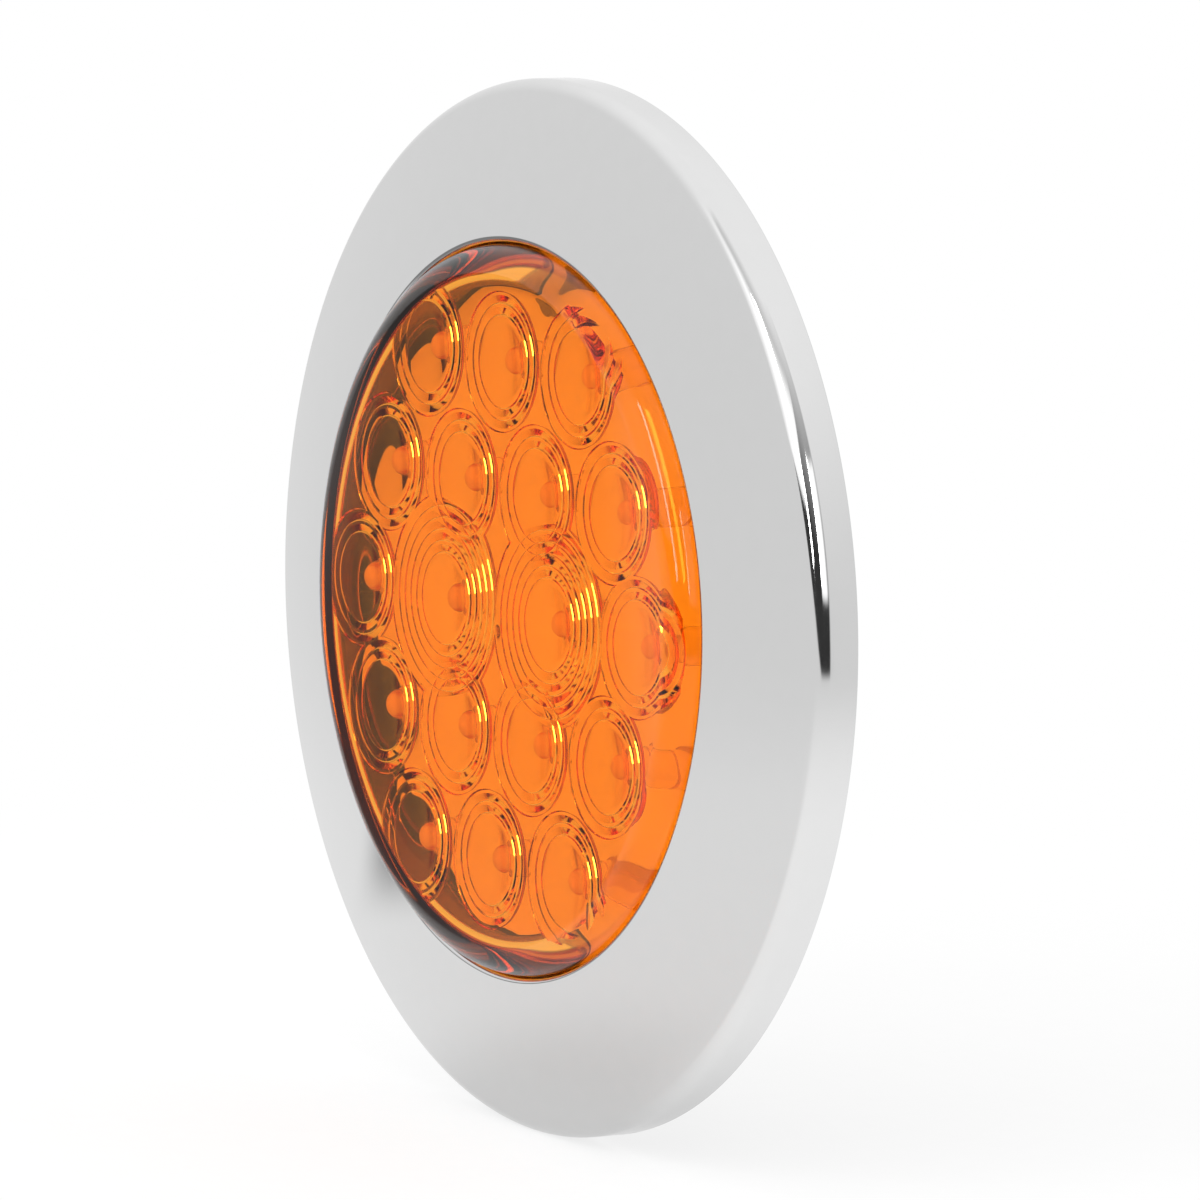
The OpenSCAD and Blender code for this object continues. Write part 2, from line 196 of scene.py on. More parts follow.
class LampProps(bpy.types.PropertyGroup):
    bezel: bpy.props.PointerProperty(type=BezelProps, name="Bezel", description="Sizes and finish of the bezel")
    lens: bpy.props.PointerProperty(type=LensProps, name="Lens", description="Sizes and tint of the lens")
    housing: bpy.props.PointerProperty(type=HousingProps, name="Housing", description="Sizes of the housing")
    board: bpy.props.PointerProperty(type=BoardProps, name="Board", description="Finishes of board and LEDs")
    socket: bpy.props.PointerProperty(type=SocketProps, name="Socket", description="Sizes of the rear socket")


def add(tree, kind, inputs=None, **settings):
    """Adds a node, sets its values and links the sockets that are given as sources."""
    made = tree.nodes.new(kind)
    for key, value in settings.items():
        setattr(made, key, value)
    for key, value in (inputs or {}).items():
        if isinstance(value, bpy.types.NodeSocket):
            tree.links.new(value, made.inputs[key])
        else:
            made.inputs[key].default_value = value
    return made


def blank(name):
    """Empty node material, with the Object coordinates and the output's surface socket."""
    material = bpy.data.materials.new(name)
    material.use_nodes = True
    tree = material.node_tree
    tree.nodes.clear()
    place = add(tree, "ShaderNodeTexCoord").outputs["Object"]
    output = add(tree, "ShaderNodeOutputMaterial")
    return material, tree, place, output.inputs["Surface"]


def let_through(tree, glass, rgba, surface):
    """Lets lamplight through glass as tinted light, so that what is inside is lit."""
    rays = add(tree, "ShaderNodeLightPath").outputs
    # The light passes two surfaces, and the square root on each makes the whole tint
    clear = add(tree, "ShaderNodeBsdfTransparent", {"Color": [math.sqrt(c) for c in rgba]})
    mix = add(tree, "ShaderNodeMixShader", {0: rays["Is Shadow Ray"], 1: glass, 2: clear.outputs["BSDF"]})
    tree.links.new(mix.outputs["Shader"], surface)


def darker(rgba, factor):
    """Colour with its brightness scaled."""
    return [c * factor for c in rgba[:3]] + [1.0]


def turned(corners, steps, arc_steps=8):
    """Solid of revolution about Y from corners given as radius, y and rounding."""
    bm = bmesh.new()
    verts = [bm.verts.new((r, y, 0.0)) for r, y, _ in corners]
    bm.faces.new(verts)
    for i, (r, y, rounding) in enumerate(corners):
        if rounding:
            here = Vector((r, y))
            before = Vector(corners[i - 1][:2]) - here
            after = Vector(corners[(i + 1) % len(corners)][:2]) - here
            setback = rounding / math.tan(before.angle(after) / 2)
            bmesh.ops.bevel(bm, geom=[verts[i]], offset=setback, offset_type="OFFSET", affect="VERTICES",
                            segments=arc_steps, profile=0.5, material=-1)
    bmesh.ops.delete(bm, geom=bm.faces[:], context="FACES_ONLY")
    axis_edges = [e for e in bm.edges if max(abs(v.co.x) for v in e.verts) < TINY]
    bmesh.ops.delete(bm, geom=axis_edges, context="EDGES")
    bmesh.ops.spin(bm, geom=bm.verts[:] + bm.edges[:], cent=(0, 0, 0), axis=(0, 1, 0), angle=math.tau, steps=steps,
                   use_merge=True)
    bmesh.ops.remove_doubles(bm, verts=bm.verts[:], dist=TINY)
    bmesh.ops.recalc_face_normals(bm, faces=bm.faces[:])
    return bm


def arc_block(r1, r2, y1, y2, middle, sweep, rounding):
    """Block along an arc about Y, with its edges rounded."""
    steps = 24
    edge_angle = math.radians(40)
    bm = bmesh.new()
    section = bm.faces.new([bm.verts.new((r, y, 0.0)) for r, y in ((r1, y1), (r2, y1), (r2, y2), (r1, y2))])
    bmesh.ops.rotate(bm, verts=bm.verts[:], cent=(0, 0, 0), matrix=Matrix.Rotation(-(middle - sweep / 2), 3, "Y"))
    bmesh.ops.spin(bm, geom=[section], cent=(0, 0, 0), axis=(0, -1, 0), angle=sweep, steps=steps)
    bmesh.ops.recalc_face_normals(bm, faces=bm.faces[:])
    sharp = [e for e in bm.edges if len(e.link_faces) == 2 and e.calc_face_angle() > edge_angle]
    bmesh.ops.bevel(bm, geom=sharp, offset=rounding, offset_type="OFFSET", affect="EDGES", segments=3, profile=0.5,
                    material=-1)
    return bm


def merged(bm, other):
    """Adds another bmesh's geometry and frees it."""
    holder = bpy.data.meshes.new("holder")
    other.to_mesh(holder)
    other.free()
    bm.from_mesh(holder)
    bpy.data.meshes.remove(holder)


def moved(bm, place):
    """Moves a whole bmesh."""
    bmesh.ops.translate(bm, verts=bm.verts[:], vec=place)
    return bm


def as_object(name, bm):
    """Object at the origin with smooth faces that break at sharp edges."""
    mesh = bpy.data.meshes.new(name)
    bm.to_mesh(mesh)
    bm.free()
    mesh.shade_smooth()
    mesh.set_sharp_from_angle(angle=math.radians(SHARP_DEGREES))
    made = bpy.data.objects.new(name, mesh)
    bpy.context.scene.collection.objects.link(made)
    return made


def joined(piece, tools, operation, sharp_degrees=SHARP_DEGREES):
    """Applies a Boolean of the piece with several tool objects, which are then removed."""
    group = bpy.data.collections.new("tools")
    bpy.context.scene.collection.children.link(group)
    for tool in tools:
        bpy.context.scene.collection.objects.unlink(tool)
        group.objects.link(tool)
    step = piece.modifiers.new("cut", "BOOLEAN")
    step.operation = operation
    step.operand_type = "COLLECTION"
    step.collection = group
    step.solver = "MANIFOLD"
    graph = bpy.context.evaluated_depsgraph_get()
    old = piece.data
    shape = bpy.data.meshes.new_from_object(piece.evaluated_get(graph))
    if len(shape.polygons) == len(old.polygons):
        raise RuntimeError(f"{piece.name}: the Boolean changed nothing")
    piece.modifiers.clear()
    piece.data = shape
    name = old.name
    bpy.data.meshes.remove(old)
    shape.name = name
    for tool in tools:
        mesh = tool.data
        bpy.data.objects.remove(tool)
        bpy.data.meshes.remove(mesh)
    bpy.data.collections.remove(group)
    shape.materials.clear()
    shape.shade_smooth()
    shape.set_sharp_from_angle(angle=math.radians(sharp_degrees))
    return piece


def settle(piece, body, slot, nodes, *materials):
    """Gives a piece its finish and its body, and hides the CAD nodes that it stands for."""
    for material in materials:
        piece.data.materials.append(material)
    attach(piece, body)
    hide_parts(*nodes)


def finish_node(node, material):
    """Gives a carried-over CAD node its procedural finish."""
    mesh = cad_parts[node].data
    mesh.materials.clear()
    mesh.materials.append(material)


def chrome_plated_abs(props):
    """Bright chrome on moulded ABS: a mirror with the faint waviness of the moulding under it."""
    material, tree, place, surface = blank("chrome_plated_abs")
    wave = add(tree, "ShaderNodeTexNoise", {"Vector": place, "Scale": 1 / (9 * MM), "Detail": 2.0})
    haze = add(tree, "ShaderNodeTexNoise", {"Vector": place, "Scale": 1 / (2.5 * MM), "Detail": 4.0})
    rough = add(tree, "ShaderNodeMapRange", {"Value": haze.outputs["Fac"], **NOISE_RANGE,
                                             "To Min": 0.05, "To Max": 0.09})
    tone = add(tree, "ShaderNodeMix", {"Factor": haze.outputs["Fac"], "A": darker(props.plating, 0.97),
                                       "B": list(props.plating)}, data_type="RGBA")
    bump = add(tree, "ShaderNodeBump", {"Height": wave.outputs["Fac"], "Strength": 0.15, "Distance": 0.02 * MM})
    shader = add(tree, "ShaderNodeBsdfPrincipled", {
        "Base Color": tone.outputs["Result"], "Metallic": 1.0, "Roughness": rough.outputs["Result"],
        "Normal": bump.outputs["Normal"]})
    tree.links.new(shader.outputs["BSDF"], surface)
    return material


def amber_polycarbonate(props):
    """Injection-moulded amber polycarbonate: clear, glossy, with faint flow lines."""
    material, tree, place, surface = blank("amber_polycarbonate")
    flow = add(tree, "ShaderNodeTexNoise", {"Vector": place, "Scale": 1 / (7 * MM), "Detail": 3.0})
    rough = add(tree, "ShaderNodeMapRange", {"Value": flow.outputs["Fac"], **NOISE_RANGE,
                                             "To Min": 0.015, "To Max": 0.035})
    ior = 1.585
    # A shader tints at surfaces. Most of the tint goes on as light enters, and each further meeting with a surface
    # from inside adds some, because light that is turned back goes further through the plastic.
    entering = [c ** 1.5 for c in props.tint]
    turned_back = [c ** 0.25 for c in props.tint]
    tone = add(tree, "ShaderNodeMix", {"Factor": flow.outputs["Fac"], "A": darker(entering, 0.97), "B": entering},
               data_type="RGBA")
    glass = add(tree, "ShaderNodeBsdfPrincipled", {
        "Base Color": tone.outputs["Result"], "Roughness": rough.outputs["Result"], "IOR": ior,
        "Specular Tint": linear("#A0A0A0"), "Transmission Weight": 1.0})
    inside = add(tree, "ShaderNodeBsdfGlass", {
        "Color": turned_back, "Roughness": rough.outputs["Result"], "IOR": ior})
    from_inside = add(tree, "ShaderNodeNewGeometry").outputs["Backfacing"]
    both = add(tree, "ShaderNodeMixShader", {0: from_inside, 1: glass.outputs["BSDF"], 2: inside.outputs["BSDF"]})
    let_through(tree, both.outputs["Shader"], props.tint, surface)
    return material


def moulded_plastic(name, rgba, grain_mm, roughness):
    """Moulded plastic or cast resin: satin, with the fine grain of its spark-eroded tool."""
    material, tree, place, surface = blank(name)
    # The real grain is too fine to show, so it is drawn several times as coarse
    grain = add(tree, "ShaderNodeTexNoise", {"Vector": place, "Scale": 1 / (grain_mm * MM), "Detail": 3.0})
    cloud = add(tree, "ShaderNodeTexNoise", {"Vector": place, "Scale": 1 / (14 * MM), "Detail": 2.0})
    tone = add(tree, "ShaderNodeMix", {"Factor": cloud.outputs["Fac"], "A": darker(rgba, 0.75), "B": list(rgba)},
               data_type="RGBA")
    rough = add(tree, "ShaderNodeMapRange", {"Value": grain.outputs["Fac"], **NOISE_RANGE,
                                             "To Min": roughness - 0.06, "To Max": roughness + 0.06})
    bump = add(tree, "ShaderNodeBump", {"Height": grain.outputs["Fac"], "Strength": 0.3, "Distance": 0.03 * MM})
    shader = add(tree, "ShaderNodeBsdfPrincipled", {
        "Base Color": tone.outputs["Result"], "Roughness": rough.outputs["Result"], "IOR": 1.53,
        "Normal": bump.outputs["Normal"]})
    tree.links.new(shader.outputs["BSDF"], surface)
    return material


def foam_rubber(props):
    """Closed-cell EPDM foam: matt, with small open cells on its cut faces."""
    material, tree, place, surface = blank("epdm_foam")
    # The real cells are finer and are drawn as coarse as they need to show
    cells = add(tree, "ShaderNodeTexVoronoi", {"Vector": place, "Scale": 1 / (0.7 * MM)})
    # Each cell is darker towards its middle, where the bump sinks it into a pit: painted shade
    tone = add(tree, "ShaderNodeMix", {"Factor": cells.outputs["Distance"], "A": darker(props.foam, 0.5),
                                       "B": list(props.foam)}, data_type="RGBA")
    bump = add(tree, "ShaderNodeBump", {"Height": cells.outputs["Distance"], "Strength": 0.6, "Distance": 0.15 * MM})
    shader = add(tree, "ShaderNodeBsdfPrincipled", {
        "Base Color": tone.outputs["Result"], "Roughness": 0.9, "IOR": 1.5, "Normal": bump.outputs["Normal"]})
    tree.links.new(shader.outputs["BSDF"], surface)
    return material


def solder_mask(props):
    """White solder mask on a glass-epoxy board: satin, a little cloudy over its copper."""
    material, tree, place, surface = blank("white_solder_mask")
    cloud = add(tree, "ShaderNodeTexNoise", {"Vector": place, "Scale": 1 / (11 * MM), "Detail": 3.0})
    tone = add(tree, "ShaderNodeMix", {"Factor": cloud.outputs["Fac"], "A": darker(props.mask, 0.96),
                                       "B": list(props.mask)}, data_type="RGBA")
    shader = add(tree, "ShaderNodeBsdfPrincipled", {
        "Base Color": tone.outputs["Result"], "Roughness": 0.45, "IOR": 1.5})
    tree.links.new(shader.outputs["BSDF"], surface)
    return material


def clear_epoxy(props, tip):
    """Water-clear cast epoxy of an LED: glossy, with a trace of warm tint and a frosted tip, round which a rosy band
    is a painted reflection.
    """
    material, tree, place, surface = blank("clear_led_epoxy")
    swirl = add(tree, "ShaderNodeTexNoise", {"Vector": place, "Scale": 1 / (2 * MM), "Detail": 2.0})
    tone = add(tree, "ShaderNodeMix", {"Factor": swirl.outputs["Fac"], "A": darker(props.epoxy, 0.97),
                                       "B": list(props.epoxy)}, data_type="RGBA")
    depth = add(tree, "ShaderNodeSeparateXYZ", {"Vector": place}).outputs["Y"]
    # Depths behind the tip between which the frosting starts, and its painted rosy band, a painted reflection, pales
    # again towards the crown
    frost_depths = (0.75 * MM, 0.6 * MM)
    crown_depths = (0.5 * MM, 0.35 * MM)
    crown_share = 0.3
    cap = add(tree, "ShaderNodeMapRange", {
        "Value": depth, "From Min": tip + frost_depths[0], "From Max": tip + frost_depths[1]},
        interpolation_type="SMOOTHSTEP").outputs["Result"]
    crown = add(tree, "ShaderNodeMapRange", {
        "Value": depth, "From Min": tip + crown_depths[0], "From Max": tip + crown_depths[1], "To Min": 1.0,
        "To Max": crown_share}, interpolation_type="SMOOTHSTEP").outputs["Result"]
    # Mask of the painted rosy band, a painted reflection: strongest a little behind the crown and paler on it
    near = add(tree, "ShaderNodeMath", {0: cap, 1: crown}, operation="MULTIPLY").outputs["Value"]
    tone = add(tree, "ShaderNodeMix", {"Factor": near, "A": tone.outputs["Result"], "B": list(props.tip)},
               data_type="RGBA")
    rough = add(tree, "ShaderNodeMapRange", {"Value": cap, "To Min": 0.03, "To Max": 0.3}).outputs["Result"]
    clear = add(tree, "ShaderNodeMapRange", {"Value": cap, "To Min": 1.0, "To Max": 0.35}).outputs["Result"]
    glass = add(tree, "ShaderNodeBsdfPrincipled", {
        "Base Color": tone.outputs["Result"], "Roughness": rough, "IOR": 1.54, "Transmission Weight": clear})
    let_through(tree, glass.outputs["BSDF"], props.epoxy, surface)
    return material


def plain_metal(name, rgba, roughness, mottle_mm):
    """Plated or drawn metal: satin, with a fine mottle."""
    material, tree, place, surface = blank(name)
    # The real mottle is too fine to show, so it is drawn several times as coarse
    mottle = add(tree, "ShaderNodeTexNoise", {"Vector": place, "Scale": 1 / (mottle_mm * MM), "Detail": 3.0})
    tone = add(tree, "ShaderNodeMix", {"Factor": mottle.outputs["Fac"], "A": darker(rgba, 0.8), "B": list(rgba)},
               data_type="RGBA")
    rough = add(tree, "ShaderNodeMapRange", {"Value": mottle.outputs["Fac"], **NOISE_RANGE,
                                             "To Min": roughness - 0.08, "To Max": roughness + 0.08})
    shader = add(tree, "ShaderNodeBsdfPrincipled", {
        "Base Color": tone.outputs["Result"], "Metallic": 1.0, "Roughness": rough.outputs["Result"]})
    tree.links.new(shader.outputs["BSDF"], surface)
    return material


class LAMP_OT_bezel(bpy.types.Operator):
    """Builds the chrome bezel with its three twist-lock lugs"""
    bl_idname = "lamp.bezel"
    bl_label = "Chrome bezel"
    STEPS = 288
    REAR_EDGE = 0.25 * MM
    LIP_EDGE = 0.3 * MM
    LUG_EDGE = 0.2 * MM
    BITE = 0.3 * MM

    def execute(self, context):
        props = context.scene.lamp.bezel
        outer = high("chrome_bezel", 0)
        rear = high("chrome_bezel", 1)
        inner = outer - props.wall
        lip_r = high("lens", 0) + props.lens_gap
        lip_out = lip_r + props.wall
        tilt = math.tan(props.slope)
        corner_drop = props.corner / math.tan((math.pi / 2 + props.slope) / 2)
        corner_y = rear - props.skirt - corner_drop
        web = props.wall / math.cos(props.slope)

        def face_y(radius):
            return corner_y - (outer - radius) * tilt

        lip_low = face_y(lip_r) + props.lip
        ring = turned([
            (outer, rear, self.REAR_EDGE), (outer, corner_y, props.corner), (lip_r, face_y(lip_r), props.lip_round),
            (lip_r, lip_low, self.LIP_EDGE), (lip_out, lip_low, self.LIP_EDGE), (lip_out, face_y(lip_out) + web, 0.0),
            (inner, face_y(inner) + web, 0.0), (inner, rear, self.REAR_EDGE),
        ], self.STEPS)
        lug_y = rear - props.lug_lift
        for degrees in LUG_ANGLES:
            merged(ring, arc_block(inner - props.lug_reach, inner + self.BITE, lug_y, lug_y - props.lug_height,
                                   math.radians(degrees), props.lug_angle, self.LUG_EDGE))
        piece = as_object("bezel_ring", ring)
        settle(piece, "bezel", "chrome_plating", ["chrome_bezel"], chrome_plated_abs(props))
        return {"FINISHED"}


class LAMP_OT_lens(bpy.types.Operator):
    """Builds the amber lens with one ringed optic in front of each LED"""
    bl_idname = "lamp.lens"
    bl_label = "Lens"
    STEPS = 256
    OPTIC_STEPS = 96
    ROOT = 0.5 * MM
    PEAK_EDGE = 0.04 * MM
    REAR_EDGE = 0.2 * MM
    DISC_STEPS = 10
    RINGS = 2
    # The two optics beside the middle have more rings than the others
    MIDDLE_RINGS = 5
    MIDDLE_REACH = 20 * MM
    # The rings' outer flanks slope by 20 degrees, so edges stay sharp from a smaller angle than elsewhere
    RING_SHARP_DEGREES = 12

    def optic(self, props, back, rings):
        """Solid of one optic: shallow convex disc and sawtooth rings on a boss."""
        radius = props.disc_radius
        bulge = props.disc_height
        cap_r = (radius * radius + bulge * bulge) / (2 * bulge)
        level = back + props.boss_height
        reach = radius + props.ring_land + rings * props.ring_pitch
        side = reach + props.boss_draft
        foot = back - self.ROOT
        corners = [(0.0, foot, 0.0), (side, foot, 0.0), (side, back, 0.0), (reach, level, 0.0)]
        inside = props.ring_height / math.tan(props.ring_inside)
        outside = props.ring_height / math.tan(props.ring_outside)
        for i in reversed(range(rings)):
            start = radius + props.ring_land + i * props.ring_pitch
            corners.append((start + inside + outside, level, 0.0))
            corners.append((start + inside, level + props.ring_height, self.PEAK_EDGE))
            corners.append((start, level, 0.0))
        spread = math.asin(radius / cap_r)
        for i in range(self.DISC_STEPS):
            turn = spread * (1 - i / self.DISC_STEPS)
            corners.append((cap_r * math.sin(turn), level + bulge - cap_r * (1 - math.cos(turn)), 0.0))
        corners.append((0.0, level + bulge, 0.0))
        return turned(corners, self.OPTIC_STEPS, arc_steps=3)

    def execute(self, context):
        props = context.scene.lamp.lens
        radius = high("lens", 0)
        front = low("lens", 1)
        rear = high("lens", 1)
        back = front + props.plate
        inner = radius - props.skirt
        shell = as_object("lens_cap", turned([
            (0.0, front, 0.0), (radius, front, props.edge), (radius, rear, self.REAR_EDGE),
            (inner, rear, self.REAR_EDGE), (inner, back, props.inner_edge), (0.0, back, 0.0),
        ], self.STEPS, arc_steps=12))
        optics = []
        for node in LED_NODES:
            place = centre(node)
            in_middle = abs(place[2]) < MM and abs(place[0]) < self.MIDDLE_REACH
            optic = self.optic(props, back, self.MIDDLE_RINGS if in_middle else self.RINGS)
            optics.append(as_object(f"optic_{node}", moved(optic, place)))
        joined(shell, optics, "UNION", self.RING_SHARP_DEGREES)
        settle(shell, "lamp", "amber_lens", ["lens"], amber_polycarbonate(props))
        return {"FINISHED"}


class LAMP_OT_leds(bpy.types.Operator):
    """Builds the clear LEDs with their legs"""
    bl_idname = "lamp.leds"
    bl_label = "LEDs"
    STEPS = 48
    STAND_OFF = 0.1 * MM
    RIM_HEIGHT = 1.0 * MM
    RIM_STEP = 0.4 * MM
    RIM_EDGE = 0.1 * MM
    LEG = 0.5 * MM
    LEG_PITCH = 2.54 * MM
    # A shade less than a half ball, so that the rounding leaves the corners beside it
    BALL = 0.9999

    def execute(self, context):
        props = context.scene.lamp.board
        epoxy = clear_epoxy(props, low("led_01", 1))
        lead = plain_metal("silvered_lead_frame", props.lead, roughness=0.3, mottle_mm=0.8)
        base = moulded_plastic("white_led_base", props.base, grain_mm=0.5, roughness=0.5)
        board_y = low("circuit_board", 1)
        foot = board_y - self.STAND_OFF
        for node in LED_NODES:
            lo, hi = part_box(node)
            rim = (hi[0] - lo[0]) / 2
            body = rim - self.RIM_STEP
            tip = lo[1]
            led = turned([
                (0.0, foot, 0.0), (rim, foot, 0.0), (rim, foot - self.RIM_HEIGHT, self.RIM_EDGE),
                (body, foot - self.RIM_HEIGHT, 0.0), (body, tip, body * self.BALL), (0.0, tip, 0.0),
            ], self.STEPS)
            for face in led.faces:
                face.material_index = 2 if face.calc_center_median().y > foot - TINY else 0
            legs = bmesh.new()
            for side in (-1, 1):
                leg = bmesh.ops.create_cube(legs, size=1.0)["verts"]
                bmesh.ops.scale(legs, verts=leg, vec=(self.LEG, hi[1] - board_y, self.LEG))
                bmesh.ops.translate(legs, verts=leg, vec=(side * self.LEG_PITCH / 2, (hi[1] + board_y) / 2, 0.0))
            for face in legs.faces:
                face.material_index = 1
            merged(led, legs)
            piece = as_object(f"{node}_dome", moved(led, centre(node)))
            settle(piece, "lamp", "led_epoxy", [node], epoxy, lead, base)
        return {"FINISHED"}


class LAMP_OT_housing(bpy.types.Operator):
    """Builds the cup, the flange and the gasket"""
    bl_idname = "lamp.housing"
    bl_label = "Housing"
    STEPS = 192
    BOSS_STEPS = 48
    DRILL_STEPS = 64
    EDGE = 0.2 * MM
    LEDGE_EDGE = 0.3 * MM
    FLOOR_EDGE = 1.0 * MM
    # Gap round a piece that is set into another, and how far joined shapes reach into each other
    FIT = 0.1 * MM
    BITE = 0.3 * MM
    FLANGE_MARGIN = 1.0 * MM
    GASKET_GAP = 0.5 * MM
    DRILL_PAST = 1.0 * MM
    # Ears that the bezel's lugs lock behind, and the stop ribs on them: reach from the axis, depths and angles
    EAR_BITE = 0.5 * MM
    EAR_REACH = 67.7 * MM
    EAR_BACK = -2.2 * MM
    EAR_DEGREES = 26
    STOP_BACK = -0.5 * MM
    STOP_FRONT = -2.4 * MM
    STOP_EDGE = 0.1 * MM
    STOP_TURN = -12
    STOP_DEGREES = 2

    def drill(self, radius, y1, y2, place):
        """Tool for a round hole along Y."""
        bm = turned([(0.0, y1, 0.0), (radius, y1, 0.0), (radius, y2, 0.0), (0.0, y2, 0.0)], self.DRILL_STEPS)
        return as_object("drill", moved(bm, place))

    def cup(self, context, props, collar_r, can_in, shoulder_y):
        """Cup with its collar round the lens, its ledge under it and the bosses for the board's screws."""
        collar_y = low("housing", 1)
        collar_in = collar_r - props.collar
        ledge_y = high("lens", 1)
        back = high("housing", 1)
        floor_y = back - props.floor
        can_out = can_in + props.wall
        socket_r = high("pin_socket", 0) - context.scene.lamp.socket.rim_width + self.FIT
        cup = as_object("housing_cup", turned([
            (collar_in, collar_y, self.EDGE), (collar_in, ledge_y, 0.0), (can_in, ledge_y, self.LEDGE_EDGE),
            (can_in - props.taper, floor_y, self.FLOOR_EDGE), (socket_r, floor_y, 0.0), (socket_r, back, 0.0),
            (can_out - props.taper, back, props.edge), (can_out, low("flange_gasket", 1), 0.0),
            (can_out, shoulder_y, 0.0), (collar_r, shoulder_y, 0.0), (collar_r, collar_y, self.EDGE),
        ], self.STEPS))
        top = high("circuit_board", 1)
        foot = floor_y + self.BITE
        bosses = []
        for degrees in SCREW_ANGLES:
            boss = turned([
                (props.boss_bore, top, 0.0), (props.boss_radius, top, self.EDGE), (props.boss_radius, foot, 0.0),
                (props.boss_bore, foot, 0.0),
            ], self.BOSS_STEPS, arc_steps=3)
            bosses.append(as_object("boss", moved(boss, on_circle(props.boss_circle, degrees))))
        return joined(cup, bosses, "UNION")

    def flange(self, props, collar_r, can_out, shoulder_y):
        """Ring under the cup's shoulder, with the bezel's ears and stops and the seats of the screws."""
        front = low("mounting_flange", 1)
        gasket_y = low("flange_gasket", 1)
        outer = high("flange_gasket", 0) + self.FLANGE_MARGIN
        inner = can_out + self.FIT
        collar_in = collar_r + self.FIT
        ring = turned([
            (inner, gasket_y, 0.0), (outer, gasket_y, self.EDGE), (outer, front, self.EDGE),
            (collar_in, front, self.EDGE), (collar_in, shoulder_y, 0.0), (inner, shoulder_y, 0.0),
        ], self.STEPS, arc_steps=3)
        for degrees in LUG_ANGLES:
            merged(ring, arc_block(outer - self.EAR_BITE, self.EAR_REACH, self.EAR_BACK, front, math.radians(degrees),
                                   math.radians(self.EAR_DEGREES), self.EDGE))
            merged(ring, arc_block(outer - self.EAR_BITE, self.EAR_REACH, self.STOP_BACK, self.STOP_FRONT,
                                   math.radians(degrees + self.STOP_TURN), math.radians(self.STOP_DEGREES),
                                   self.STOP_EDGE))
        ring = as_object("flange_ring", ring)
        drills = []
        for degrees in SCREW_ANGLES:
            place = on_circle(props.hole_circle, degrees)
            above = front - self.DRILL_PAST
            drills.append(self.drill(props.hole_radius, self.DRILL_PAST, above, place))
            drills.append(self.drill(props.seat_radius, gasket_y - props.seat_web, above, place))
        return joined(ring, drills, "DIFFERENCE")

    def gasket(self, props, can_out):
        """Flat foam ring between the flange and the panel."""
        front = low("flange_gasket", 1)
        outer = high("flange_gasket", 0)
        inner = can_out + self.GASKET_GAP
        ring = as_object("foam_gasket", turned([
            (inner, 0.0, 0.0), (outer, 0.0, self.EDGE), (outer, front, self.EDGE), (inner, front, 0.0),
        ], self.STEPS, arc_steps=3))
        drills = [self.drill(props.hole_radius, self.DRILL_PAST, front - self.DRILL_PAST,
                             on_circle(props.hole_circle, degrees)) for degrees in SCREW_ANGLES]
        return joined(ring, drills, "DIFFERENCE")

    def execute(self, context):
        props = context.scene.lamp.housing
        plastic = moulded_plastic("black_asa", props.plastic, grain_mm=0.5, roughness=0.5)
        collar_r = high("housing", 0)
        can_in = high("lens", 0) - props.ledge_width
        can_out = can_in + props.wall
        shoulder_y = low("flange_gasket", 1) - props.seat
        cup = self.cup(context, props, collar_r, can_in, shoulder_y)
        settle(cup, "lamp", "black_plastic", ["housing"], plastic)
        flange = self.flange(props, collar_r, can_out, shoulder_y)
        settle(flange, "lamp", "black_plastic", ["mounting_flange"], plastic)
        settle(self.gasket(props, can_out), "lamp", "foam_rubber", ["flange_gasket"], foam_rubber(props))
        return {"FINISHED"}


class LAMP_OT_board(bpy.types.Operator):
    """Gives the circuit board and its parts their finishes"""
    bl_idname = "lamp.board"
    bl_label = "Circuit board"

    def execute(self, context):
        props = context.scene.lamp.board
        finish_node("circuit_board", solder_mask(props))
        steel = plain_metal("zinc_plated_steel", linear("#A8ACB0"), roughness=0.35, mottle_mm=0.6)
        finish_node("board_screws", steel)
        resin = moulded_plastic("black_chip_resin", linear("#222224"), grain_mm=0.3, roughness=0.55)
        for node in CHIP_NODES:
            finish_node(node, resin)
        return {"FINISHED"}


